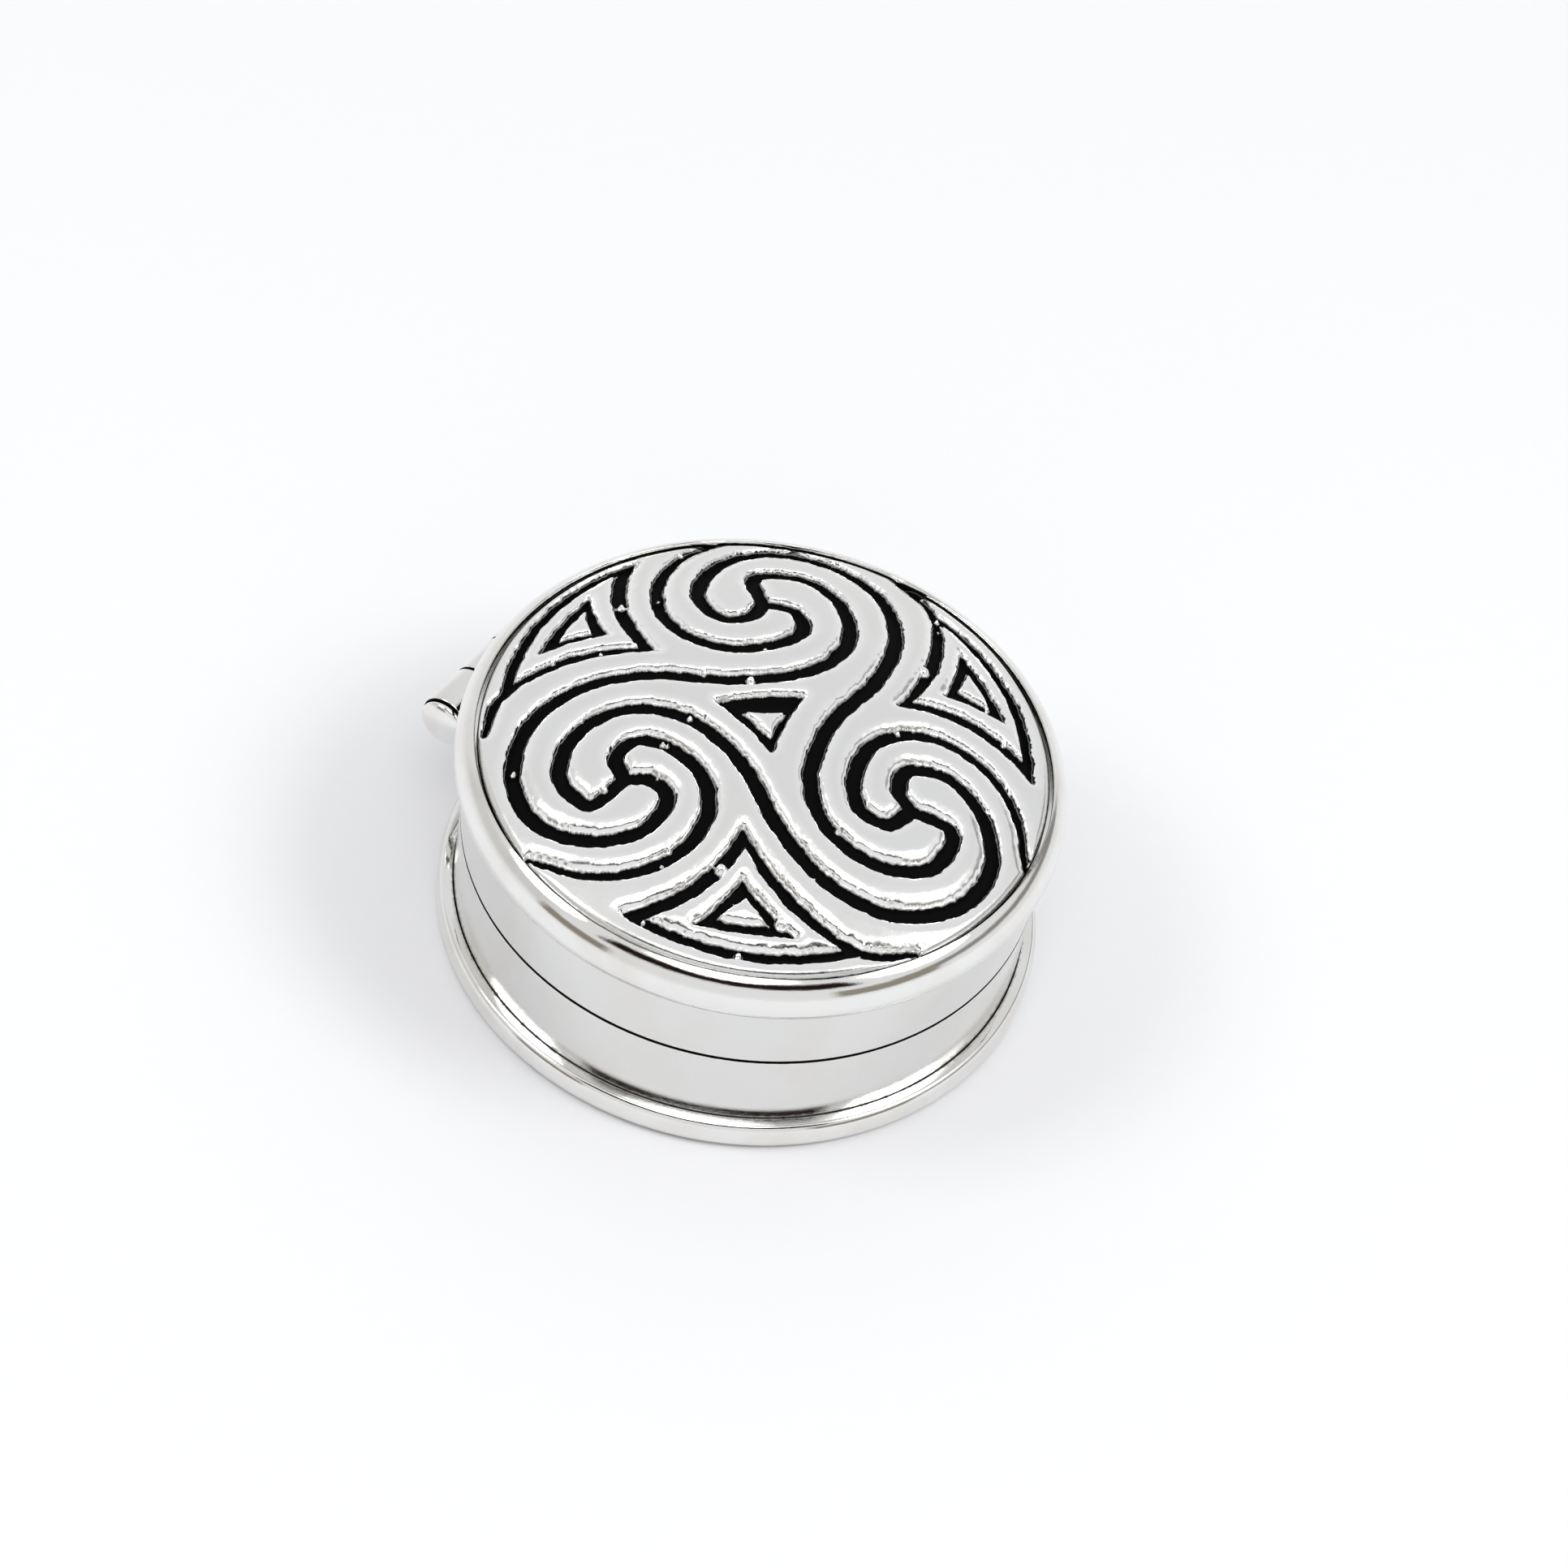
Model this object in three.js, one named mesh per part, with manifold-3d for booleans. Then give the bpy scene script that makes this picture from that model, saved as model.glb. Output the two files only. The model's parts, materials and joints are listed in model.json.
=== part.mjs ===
// A round silver pill box: a shallow body and a domed lid joined by a three-knuckle
// barrel hinge. Millimetres, +Z up. The origin is the middle of the underside, which
// the box stands on. The hinge is at +Y and its pin runs along X.

import * as THREE from 'three';
import { mergeVertices } from 'three/addons/utils/BufferGeometryUtils.js';
import Module from 'manifold-3d';

const wasm = await Module();
wasm.setup();

// ---- Driving dimensions --------------------------------------------------------

// Body and lid walls
const wallRadius = 14.25;          // outer face of both walls
const wallThickness = 0.55;
const floorThickness = 0.5;
const seamHeight = 5.8;            // middle of the parting line between body and lid
const seamGap = 0.1;
const lidWallHeight = 3.4;

// Half-round bead around the foot
const footBeadHeight = 1.5;

// Sleeve inside the body that guides the lid
const sleeveThickness = 0.45;
const sleeveRise = 1.6;            // how far it stands above the seam
const sleeveClearance = 0.06;      // left all round while the lid swings past it

// Round bead that crowns the lid wall
const rimBeadRadius = 1.5;         // radius of its section
const rimBeadInset = 0.8;          // section centre, inwards from the wall's outer face

// Domed lid plate and the ornament plaque on it
const plaqueEdgeGap = 0.15;        // dark line between plaque and bead
const plaqueInset = 0.35;          // plaque edge, inwards from the wall's outer face
const plaqueEdgeDrop = 0.2;        // plaque's edge below the top of the rim bead
const domeRise = 2.7;
const plaqueThickness = 0.85;
const lidPlateThickness = 0.45;
const grooveDepth = 0.5;
const grooveWidth = 0.65;

// Barrel hinge
const barrelRadius = 1.35;
const barrelStandoff = 0.03;       // between barrel and wall where they come closest
const hingeRise = 0.5;             // hinge axis above the seam
const lidKnuckleLength = 2.6;
const bodyKnuckleLength = 2.6;
const knuckleGap = 0.15;
const pinRadius = 0.5;
const pinClearance = 0.05;
const pinHeadRadius = 1.25;
const pinHeadThickness = 0.5;
const hingeFootReach = 1.9;        // how far a knuckle's foot runs along the wall

const solderGap = 0.05;            // hairline left between pieces that are soldered

// Finish
const roundSegments = 64;
const beadSegments = 6;
const domeSteps = 4;
const barrelSegments = 24;
const linkSegments = 38;
const borderSegments = 19;
const tailSegments = 4;

// ---- Worked-out dimensions -----------------------------------------------------

const wallInner = wallRadius - wallThickness;
const lidBottom = seamHeight + seamGap / 2;
const bodyTop = seamHeight - seamGap / 2;
const lidWallTop = lidBottom + lidWallHeight;
const beadCentreRadius = wallRadius - rimBeadInset;
const beadCentreHeight = lidWallTop + Math.sqrt(rimBeadRadius ** 2 - rimBeadInset ** 2);
const plaqueRadius = wallRadius - plaqueInset;
const plaqueEdgeTop = beadCentreHeight + rimBeadRadius - plaqueEdgeDrop;
const hingeY = wallRadius + barrelStandoff + barrelRadius;
const hingeZ = seamHeight + hingeRise;
const pinHoleRadius = pinRadius + pinClearance;
const barrelHalfLength = lidKnuckleLength / 2 + knuckleGap + bodyKnuckleLength;

// The foot of the lid wall moves inwards by this much before it rises past the sleeve.
const swingReach = hingeY - wallInner;
const swingRoom = Math.hypot(swingReach, hingeZ - lidBottom) - swingReach;
const sleeveOuter = wallInner - swingRoom - sleeveClearance;

// ---- Helpers -------------------------------------------------------------------

const group = new THREE.Group();

function metal(colour, roughness) {
  return new THREE.MeshStandardMaterial({ color: colour, roughness, metalness: 1 });
}

function place(name, geometry, material) {
  const mesh = new THREE.Mesh(geometry, material);
  mesh.name = name;
  group.add(mesh);
  return mesh;
}

// A ring or disc around Z from a section given as [radius, height] points, counter-clockwise.
function turned(section) {
  const points = section.map(([radius, height]) => new THREE.Vector2(radius, height));
  const geometry = new THREE.LatheGeometry(points, roundSegments);
  return geometry.rotateX(Math.PI / 2);
}

function arc(centreX, centreY, radius, fromAngle, toAngle, steps) {
  const points = [];
  for (let i = 0; i <= steps; i += 1) {
    const angle = fromAngle + (toAngle - fromAngle) * i / steps;
    points.push([centreX + radius * Math.cos(angle), centreY + radius * Math.sin(angle)]);
  }
  return points;
}

function solid(geometry) {
  const bare = geometry.clone();
  bare.deleteAttribute('normal');
  bare.deleteAttribute('uv');
  const merged = mergeVertices(bare, 1e-4);
  return new wasm.Manifold(new wasm.Mesh({
    numProp: 3,
    vertProperties: new Float32Array(merged.attributes.position.array),
    triVerts: new Uint32Array(merged.index.array),
  }));
}

function geometryOf(manifold) {
  const mesh = manifold.getMesh();
  const geometry = new THREE.BufferGeometry();
  geometry.setAttribute('position', new THREE.BufferAttribute(mesh.vertProperties, 3));
  geometry.setIndex(new THREE.BufferAttribute(mesh.triVerts, 1));
  geometry.computeVertexNormals();
  return geometry;
}

// A flat outline pushed up from one height to another.
function prism(shape, bottom, top) {
  const geometry = new THREE.ExtrudeGeometry(shape, { depth: top - bottom, bevelEnabled: false });
  return geometry.translate(0, 0, bottom);
}

// ---- Body ----------------------------------------------------------------------

function rectangleSection(inner, outer, bottom, top) {
  return [[inner, bottom], [outer, bottom], [outer, top], [inner, top], [inner, bottom]];
}

function basePlate() {
  return turned([[0, 0], [wallRadius, 0], [wallRadius, floorThickness], [0, floorThickness]]);
}

function footBead() {
  const inner = wallRadius + solderGap;
  const half = footBeadHeight / 2;
  const curve = arc(inner, half, half, -Math.PI / 2, Math.PI / 2, beadSegments);
  return turned([...curve, curve[0]]);
}

function bodyWall() {
  return turned(rectangleSection(wallInner, wallRadius, floorThickness + solderGap, bodyTop));
}

function guideSleeve() {
  const inner = sleeveOuter - sleeveThickness;
  const chamfer = sleeveThickness / 2;
  const top = seamHeight + sleeveRise;
  const bottom = floorThickness + solderGap;
  return turned([
    [inner, bottom],
    [sleeveOuter, bottom],
    [sleeveOuter, top - chamfer],
    [sleeveOuter - chamfer, top],
    [inner, top],
    [inner, bottom],
  ]);
}

// ---- Lid -----------------------------------------------------------------------

function lidWall() {
  return turned(rectangleSection(wallInner, wallRadius, lidBottom, lidWallTop - solderGap));
}

// Height of the domed top at a radius, below its surface by a depth.
function domeHeight(radius, depth) {
  return plaqueEdgeTop - depth + domeRise * (1 - (radius / plaqueRadius) ** 2);
}

const lidPlateDepth = plaqueThickness + solderGap;

function rimBead() {
  const seatRadius = plaqueRadius + plaqueEdgeGap;
  const seatHeight = domeHeight(plaqueRadius, lidPlateDepth + lidPlateThickness + solderGap);
  const from = -Math.acos(rimBeadInset / rimBeadRadius);
  const to = Math.acos((seatRadius - beadCentreRadius) / rimBeadRadius);
  return turned([
    [wallInner, lidWallTop],
    ...arc(beadCentreRadius, beadCentreHeight, rimBeadRadius, from, to, beadSegments),
    [seatRadius, seatHeight],
    [wallInner, seatHeight],
    [wallInner, lidWallTop],
  ]);
}

// A round sheet with the dome's curve, between two depths below the plaque's top.
function domedSheet(topDepth, bottomDepth) {
  const under = [];
  const over = [];
  for (let i = 0; i <= domeSteps; i += 1) {
    const radius = plaqueRadius * i / domeSteps;
    under.push([radius, domeHeight(radius, bottomDepth)]);
    over.unshift([radius, domeHeight(radius, topDepth)]);
  }
  return turned([...under, ...over]);
}

function lidPlate() {
  return domedSheet(lidPlateDepth, lidPlateDepth + lidPlateThickness);
}

// ---- Ornament: three linked spirals ---------------------------------------------
// Outlines are in plaque radii. One third of the pattern is given, and two turned
// copies make the rest. patternTurn sets the pattern against the hinge.

const thirds = [0, 1, 2];
const patternTurn = THREE.MathUtils.degToRad(-65);

// The groove that winds out of one spiral's eye and into the next one's.
const linkGroove = [
  [-0.085, 0.585], [-0.115, 0.505], [-0.205, 0.47], [-0.30, 0.58], [-0.27, 0.77],
  [-0.12, 0.91], [0.10, 0.915],
  [0.295, 0.78], [0.37, 0.57], [0.34, 0.33], [0.21, 0.03], [0.19, -0.24], [0.30, -0.42],
  [0.50, -0.48], [0.66, -0.41], [0.70, -0.25], [0.55, -0.22],
];

// The groove that winds out of the eye to the plaque's edge.
const borderGroove = [
  [-0.085, 0.585], [0.025, 0.57], [0.06, 0.475], [-0.03, 0.37], [-0.18, 0.32],
  [-0.32, 0.36], [-0.42, 0.48], [-0.445, 0.65], [-0.39, 0.82], [-0.24, 0.98],
];

// The thin groove that runs from a corner field towards the edge.
const tailGroove = [[0.50, 0.75], [0.46, 0.83], [0.33, 0.93]];

// Sunk fields and the islands left in them, each a triangle with bowed sides.
const outerField = {
  corners: [[0.475, 0.81], [0.94, 0.10], [0.43, 0.225]],
  bows: [0.122, -0.068, -0.05],
};
const outerIsland = {
  corners: [[0.51, 0.755], [0.90, 0.18], [0.47, 0.27]],
  bows: [0.074, -0.05, -0.05],
};
const innerField = {
  corners: [[0.605, 0.61], [0.807, 0.33], [0.584, 0.35]],
  bows: [0.01, -0.01, -0.01],
};
const innerIsland = {
  corners: [[0.637, 0.523], [0.75, 0.364], [0.617, 0.396]],
  bows: [0.01, 0, 0],
};
const middleField = {
  corners: [[0.108, 0.151], [0.032, -0.14], [-0.183, 0.043]],
  bows: [-0.01, -0.01, 0.01],
};
const middleIsland = {
  corners: [[0.059, 0.054], [0.022, -0.081], [-0.092, 0.016]],
  bows: [0, 0, 0],
};

// The pattern is cut by hand: each spiral is a little larger, and a little off its
// place, by these amounts around its middle.
const spiralMiddle = new THREE.Vector2(-0.12, 0.56);
const driftReach = 0.43;
const drifts = [
  { swell: 0.088, shift: new THREE.Vector2(-0.031, 0.016) },
  { swell: 0, shift: new THREE.Vector2(-0.025, -0.01) },
  { swell: -0.021, shift: new THREE.Vector2(0.016, 0.023) },
];

function turnOf(third) {
  return -third * 2 * Math.PI / 3;
}

// Where a point of the pattern falls on the plaque, in millimetres, in one of its thirds.
function patternPoint([x, y], third) {
  const origin = new THREE.Vector2();
  const point = new THREE.Vector2(x, y).rotateAround(origin, turnOf(third));
  const moved = point.clone();
  drifts.forEach(({ swell, shift }, i) => {
    const middle = spiralMiddle.clone().rotateAround(origin, turnOf(i));
    const away = point.clone().sub(middle);
    const weight = Math.exp(-away.lengthSq() / (2 * driftReach ** 2));
    moved.addScaledVector(away, weight * swell).addScaledVector(shift, weight);
  });
  return moved.rotateAround(origin, patternTurn).multiplyScalar(plaqueRadius);
}

function bowedTriangle({ corners, bows }, third) {
  const points = corners.map((corner) => patternPoint(corner, third));
  const shape = new THREE.Shape();
  shape.moveTo(points[0].x, points[0].y);
  for (let i = 0; i < 3; i += 1) {
    const a = points[i];
    const b = points[(i + 1) % 3];
    const middle = a.clone().add(b).multiplyScalar(0.5);
    const outwards = new THREE.Vector2(a.y - b.y, b.x - a.x).normalize();
    const control = middle.add(outwards.multiplyScalar(2 * bows[i] * plaqueRadius));
    shape.quadraticCurveTo(control.x, control.y, b.x, b.y);
  }
  return shape;
}

// A strip along a smooth line through the points, narrowing to a share of its width.
function groove(line, third, endShare, segments) {
  const points = line.map((point) => {
    const { x, y } = patternPoint(point, third);
    return new THREE.Vector3(x, y, 0);
  });
  const curve = new THREE.CatmullRomCurve3(points, false, 'centripetal');
  const left = [];
  const right = [];
  for (let i = 0; i <= segments; i += 1) {
    const along = i / segments;
    const centre = curve.getPointAt(along);
    const tangent = curve.getTangentAt(along);
    const half = grooveWidth / 2 * (1 + (endShare - 1) * along ** 4);
    left.push(new THREE.Vector2(centre.x - tangent.y * half, centre.y + tangent.x * half));
    right.unshift(new THREE.Vector2(centre.x + tangent.y * half, centre.y - tangent.x * half));
  }
  return new THREE.Shape([...left, ...right]);
}

// A cutter with the outline of a shape, through the whole height of the plaque.
function cutter(shape, curveSegments) {
  const low = plaqueEdgeTop - plaqueThickness - 1;
  const high = plaqueEdgeTop + domeRise + 1;
  const geometry = new THREE.ExtrudeGeometry(
    shape,
    { depth: high - low, bevelEnabled: false, curveSegments },
  );
  return solid(geometry.translate(0, 0, low));
}

function sunkField(field, island, third, curveSegments) {
  return cutter(bowedTriangle(field, third), curveSegments)
    .subtract(cutter(bowedTriangle(island, third), curveSegments));
}

function grooveCutters(third) {
  return [
    cutter(groove(linkGroove, third, 1, linkSegments)),
    cutter(groove(borderGroove, third, 0.4, borderSegments)),
    cutter(groove(tailGroove, third, 0.3, tailSegments)),
    sunkField(outerField, outerIsland, third, 5),
    sunkField(innerField, innerIsland, third, 2),
  ];
}

function ornamentPlaque() {
  const floor = solid(domedSheet(grooveDepth, plaqueThickness));
  const face = solid(domedSheet(0, plaqueThickness));
  const grooves = thirds.flatMap(grooveCutters)
    .reduce((sum, next) => sum.add(next), sunkField(middleField, middleIsland, 0, 2));
  return geometryOf(face.subtract(grooves).add(floor));
}

// ---- Hinge ---------------------------------------------------------------------

// A round bar or tube along X, from a section given as [radius, x] points.
function alongX(section, segments) {
  const points = section.map(([radius, x]) => new THREE.Vector2(radius, x));
  const geometry = new THREE.LatheGeometry(points, segments);
  return geometry.rotateZ(-Math.PI / 2).translate(0, hingeY, hingeZ);
}

// A knuckle with the foot that joins it to the wall. The foot's outline is [y, z] points.
function knuckle(fromX, toX, footOutline) {
  const barrel = solid(alongX([[0, fromX], [barrelRadius, fromX], [barrelRadius, toX], [0, toX]],
    barrelSegments));
  const hole = solid(alongX(
    [[0, fromX - 1], [pinHoleRadius, fromX - 1], [pinHoleRadius, toX + 1], [0, toX + 1]],
    barrelSegments,
  ));
  const outline = new THREE.Shape(footOutline.map(([y, z]) => new THREE.Vector2(y, z)));
  const foot = prism(outline, fromX, toX)
    .applyMatrix4(new THREE.Matrix4().makeBasis(
      new THREE.Vector3(0, 1, 0), new THREE.Vector3(0, 0, 1), new THREE.Vector3(1, 0, 0),
    ));
  const fitRadius = wallRadius + solderGap;
  const wallSpace = solid(turned([[0, 0], [fitRadius, 0], [fitRadius, lidWallTop], [0, lidWallTop]]));
  return geometryOf(barrel.add(solid(foot)).subtract(wallSpace).subtract(hole));
}

function bodyKnuckle(side) {
  const near = lidKnuckleLength / 2 + knuckleGap;
  const ends = [side * near, side * barrelHalfLength].sort((a, b) => a - b);
  return knuckle(ends[0], ends[1], [
    [wallInner, bodyTop - hingeFootReach],
    [wallRadius, bodyTop - hingeFootReach],
    [hingeY, hingeZ - barrelRadius + solderGap],
    [hingeY, bodyTop],
    [wallInner, bodyTop],
  ]);
}

function lidKnuckle() {
  const half = lidKnuckleLength / 2;
  return knuckle(-half, half, [
    [wallInner, lidBottom],
    [hingeY, lidBottom],
    [hingeY, hingeZ + barrelRadius - solderGap],
    [wallRadius, lidBottom + hingeFootReach + hingeRise],
    [wallInner, lidBottom + hingeFootReach + hingeRise],
  ]);
}

// The pin, with a domed head riveted over at each end.
function hingePin() {
  const headStart = barrelHalfLength + 2 * solderGap;
  const headSteps = 4;
  const head = [];
  for (let i = 0; i <= headSteps; i += 1) {
    const angle = Math.PI / 2 * i / headSteps;
    head.push([pinHeadRadius * Math.cos(angle), headStart + pinHeadThickness * Math.sin(angle)]);
  }
  head[headSteps][0] = 0;
  const mirrored = head.map(([radius, x]) => [radius, -x]).reverse();
  return alongX([
    ...mirrored,
    [pinRadius, -headStart],
    [pinRadius, headStart],
    ...head,
  ], barrelSegments);
}

// ---- Assembly ------------------------------------------------------------------

const silver = 0xd9dbdd;
const paleSilver = 0xe2e3e4;
const ornamentSilver = 0xb9bcbe;

place('base_plate', basePlate(), metal(paleSilver, 0.2));
place('foot_bead', footBead(), metal(silver, 0.12));
place('body_wall', bodyWall(), metal(silver, 0.12));
place('guide_sleeve', guideSleeve(), metal(paleSilver, 0.2));
place('lid_wall', lidWall(), metal(silver, 0.12));
place('lid_rim_bead', rimBead(), metal(silver, 0.1));
place('lid_plate', lidPlate(), metal(paleSilver, 0.2));
place('ornament_plaque', ornamentPlaque(), metal(ornamentSilver, 0.25));
place('body_knuckle_left', bodyKnuckle(-1), metal(silver, 0.15));
place('body_knuckle_right', bodyKnuckle(1), metal(silver, 0.15));
place('lid_knuckle', lidKnuckle(), metal(silver, 0.15));
place('hinge_pin', hingePin(), metal(paleSilver, 0.15));

export default group;
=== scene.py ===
"""A round silver pill box with a domed lid of three linked spirals, modelled around its frame."""
import json
import math

import bmesh
import bpy
import numpy as np
from bpy.props import FloatProperty, FloatVectorProperty, IntProperty, PointerProperty
from bpy.types import Operator, Panel, PropertyGroup
from mathutils import Matrix, Vector


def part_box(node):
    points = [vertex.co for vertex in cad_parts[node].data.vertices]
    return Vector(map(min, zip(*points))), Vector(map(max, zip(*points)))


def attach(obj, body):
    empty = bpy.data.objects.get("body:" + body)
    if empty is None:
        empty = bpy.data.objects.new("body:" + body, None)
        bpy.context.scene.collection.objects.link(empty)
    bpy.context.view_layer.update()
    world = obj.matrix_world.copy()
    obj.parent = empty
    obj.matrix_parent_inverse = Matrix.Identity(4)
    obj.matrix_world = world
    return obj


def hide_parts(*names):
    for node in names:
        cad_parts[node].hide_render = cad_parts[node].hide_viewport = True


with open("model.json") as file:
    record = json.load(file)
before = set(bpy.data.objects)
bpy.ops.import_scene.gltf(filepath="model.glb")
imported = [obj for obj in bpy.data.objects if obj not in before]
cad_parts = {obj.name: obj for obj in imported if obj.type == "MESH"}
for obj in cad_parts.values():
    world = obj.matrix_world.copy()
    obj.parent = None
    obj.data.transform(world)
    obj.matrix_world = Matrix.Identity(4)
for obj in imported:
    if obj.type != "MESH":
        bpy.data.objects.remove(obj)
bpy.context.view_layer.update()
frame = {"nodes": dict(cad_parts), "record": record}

bl_info = {
    "name": "Silver pill box",
    "version": (1, 0, 0),
    "blender": (4, 5, 0),
    "location": "View3D > Sidebar > Pill box",
    "description": "Builds a round hinged pill box with a spiral plaque on its lid",
    "category": "Add Mesh",
}

MM = 0.001
BODY_OF = {
    node: body
    for body, nodes in frame["record"]["behaviour"]["bodies"].items()
    for node in nodes
}
HINGE = Vector(frame["record"]["behaviour"]["joints"][0]["pos_m"])
CORNERS = {node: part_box(node) for node in frame["nodes"]}


def reach(node):
    """Outer radius of a round node that is centred on the Z axis."""
    return CORNERS[node][1].x


def lowest(node):
    return CORNERS[node][0].z


def highest(node):
    return CORNERS[node][1].z


# ---- Sizes and colours ----------------------------------------------------------


class PILLBOX_PG_sizes(PropertyGroup):
    """Sizes of the silver work that the frame does not give by itself."""

    wall_thickness: FloatProperty(
        name="Wall thickness", description="Sheet of the body and lid walls",
        default=0.55 * MM, unit="LENGTH", precision=5)
    sleeve_thickness: FloatProperty(
        name="Sleeve thickness", description="Sheet of the sleeve that guides the lid",
        default=0.45 * MM, unit="LENGTH", precision=5)
    foot_ledge: FloatProperty(
        name="Foot ledge", description="Flat left on top of the foot bead, beside the wall",
        default=0.36 * MM, unit="LENGTH", precision=5)
    bead_radius: FloatProperty(
        name="Rim bead radius", description="Radius of the rim bead's round section",
        default=1.5 * MM, unit="LENGTH", precision=5)
    plaque_gap: FloatProperty(
        name="Plaque gap", description="Dark line between the plaque and the rim bead",
        default=0.15 * MM, unit="LENGTH", precision=5)
    dome_rise: FloatProperty(
        name="Dome rise", description="Height of the lid's middle above its edge",
        default=2.7 * MM, unit="LENGTH", precision=5)
    lid_plate_thickness: FloatProperty(
        name="Lid plate thickness", description="Sheet that closes the lid under the plaque",
        default=0.45 * MM, unit="LENGTH", precision=5)
    plaque_thickness: FloatProperty(
        name="Plaque thickness", description="Thickness of the plaque at its raised bands",
        default=0.85 * MM, unit="LENGTH", precision=5)
    pin_radius: FloatProperty(
        name="Pin radius", description="Shaft of the hinge pin",
        default=0.5 * MM, unit="LENGTH", precision=5)
    pin_clearance: FloatProperty(
        name="Pin clearance", description="Play between the pin and its knuckles",
        default=0.05 * MM, unit="LENGTH", precision=5)
    barrel_radius: FloatProperty(
        name="Barrel radius", description="Outer radius of the hinge knuckles",
        default=1.35 * MM, unit="LENGTH", precision=5)
    edge_radius: FloatProperty(
        name="Edge radius", description="Rounding that polishing leaves on sheet edges",
        default=0.09 * MM, unit="LENGTH", precision=5)
    turns: IntProperty(
        name="Steps round", description="Steps of a full turn on the round pieces",
        default=240, min=24)


class PILLBOX_PG_ornament(PropertyGroup):
    """Sizes of the cut pattern on the plaque."""

    groove_width: FloatProperty(
        name="Groove width", description="Width of the blackened grooves",
        default=0.65 * MM, unit="LENGTH", precision=5)
    groove_depth: FloatProperty(
        name="Groove depth", description="Depth of the blackened grooves",
        default=0.5 * MM, unit="LENGTH", precision=5)
    shoulder: FloatProperty(
        name="Shoulder", description="How far in from its edge a band starts to roll over",
        default=0.16 * MM, unit="LENGTH", precision=5)
    wall: FloatProperty(
        name="Groove wall", description="Width between a band's shoulder and the groove's floor",
        default=0.24 * MM, unit="LENGTH", precision=5)
    crown: FloatProperty(
        name="Crown", description="How much a band's top falls off towards its edges",
        default=0.13 * MM, unit="LENGTH", precision=5)
    crown_width: FloatProperty(
        name="Crown width", description="How far in from its edge a band's top starts to fall",
        default=0.46 * MM, unit="LENGTH", precision=5)
    edge_roll: FloatProperty(
        name="Edge roll", description="Rounding of the plaque's outer edge",
        default=0.32 * MM, unit="LENGTH", precision=5)
    grid: IntProperty(
        name="Relief grid", description="Cells across the plaque's relief",
        default=292, min=40)


class PILLBOX_PG_finish(PropertyGroup):
    """Colours and polish of the silver."""

    silver: FloatVectorProperty(
        name="Silver", description="Colour of polished silver",
        subtype="COLOR", size=3, default=(0.84, 0.84, 0.825), min=0, max=1)
    # This colour is painted highlight: it lightens the plaque's band edges, where they would
    # catch the light.
    bright: FloatVectorProperty(
        name="Buffed silver", description="Colour of the raised edges that wear keeps bright",
        subtype="COLOR", size=3, default=(0.95, 0.95, 0.94), min=0, max=1)
    warm: FloatVectorProperty(
        name="Warm tarnish", description="Colour of the faint tan tarnish",
        subtype="COLOR", size=3, default=(0.66, 0.60, 0.52), min=0, max=1)
    # This black is oxide in the plaque's grooves, and painted shade in the seams, corners and
    # gaps.
    oxide_and_shade: FloatVectorProperty(
        name="Oxide", description="Colour of the blackening in grooves and corners",
        subtype="COLOR", size=3, default=(0.0025, 0.0025, 0.0025), min=0, max=1)
    floor: FloatVectorProperty(
        name="Floor", description="Colour of the floor under the box",
        subtype="COLOR", size=3, default=(0.835, 0.84, 0.855), min=0, max=1)


class PILLBOX_PG_stage(PropertyGroup):
    """Camera and lights."""

    distance: FloatProperty(
        name="Camera distance", description="From the camera to the middle of the lid's rim",
        default=235.2 * MM, unit="LENGTH")
    elevation: FloatProperty(
        name="Camera elevation", description="Angle of the camera above the table",
        default=math.radians(47.98), subtype="ANGLE")
    bearing: FloatProperty(
        name="Camera bearing", description="Where the camera stands, round from +X",
        default=math.radians(-155), subtype="ANGLE")
    roll: FloatProperty(
        name="Camera roll", description="Tilt of the camera about its own view",
        default=math.radians(11.2), subtype="ANGLE")
    aim_right: FloatProperty(
        name="Aim right", description="How far right of the lid's middle the camera looks",
        default=0.992 * MM, unit="LENGTH", precision=5)
    aim_up: FloatProperty(
        name="Aim up", description="How far above the lid's middle the camera looks",
        default=-0.921 * MM, unit="LENGTH", precision=5)
    aim_height: FloatProperty(
        name="Aim height", description="Height above the table of the point aimed round",
        default=10.88 * MM, unit="LENGTH", precision=5)
    lens: FloatProperty(
        name="Lens", description="Focal length on a 36 mm wide frame, in millimetres",
        default=111.8)
    ambient: FloatProperty(
        name="Ambient", description="Brightness of the room all round", default=0.82)
    overhead: FloatProperty(
        name="Overhead light", description="Power of the light above, in watts", default=0.52)
    right: FloatProperty(
        name="Right light", description="Power of the light at the right, in watts", default=0.58)
    left: FloatProperty(
        name="Left light", description="Power of the light at the left, in watts", default=0.42)


# ---- Shaping helpers ------------------------------------------------------------


def softened(section, radius, closed=True, steps=3):
    """The section's corners, each replaced by a small curve that starts a radius away."""
    outline = [Vector(point) for point in section]
    points = []
    for i, corner in enumerate(outline):
        if not closed and i in (0, len(outline) - 1):
            points.append(corner)
            continue
        before = outline[i - 1] - corner
        after = outline[(i + 1) % len(outline)] - corner
        cut = min(radius, before.length * 0.4, after.length * 0.4)
        start = corner + before.normalized() * cut
        end = corner + after.normalized() * cut
        for step in range(steps + 1):
            t = step / steps
            points.append(start.lerp(corner, t).lerp(corner.lerp(end, t), t))
    return points


def arc(centre, radius, start, end, steps):
    """Points on part of a circle, without its two ends."""
    return [
        Vector((centre[0] + radius * math.cos(angle), centre[1] + radius * math.sin(angle)))
        for angle in (start + (end - start) * i / steps for i in range(1, steps))
    ]


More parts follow.
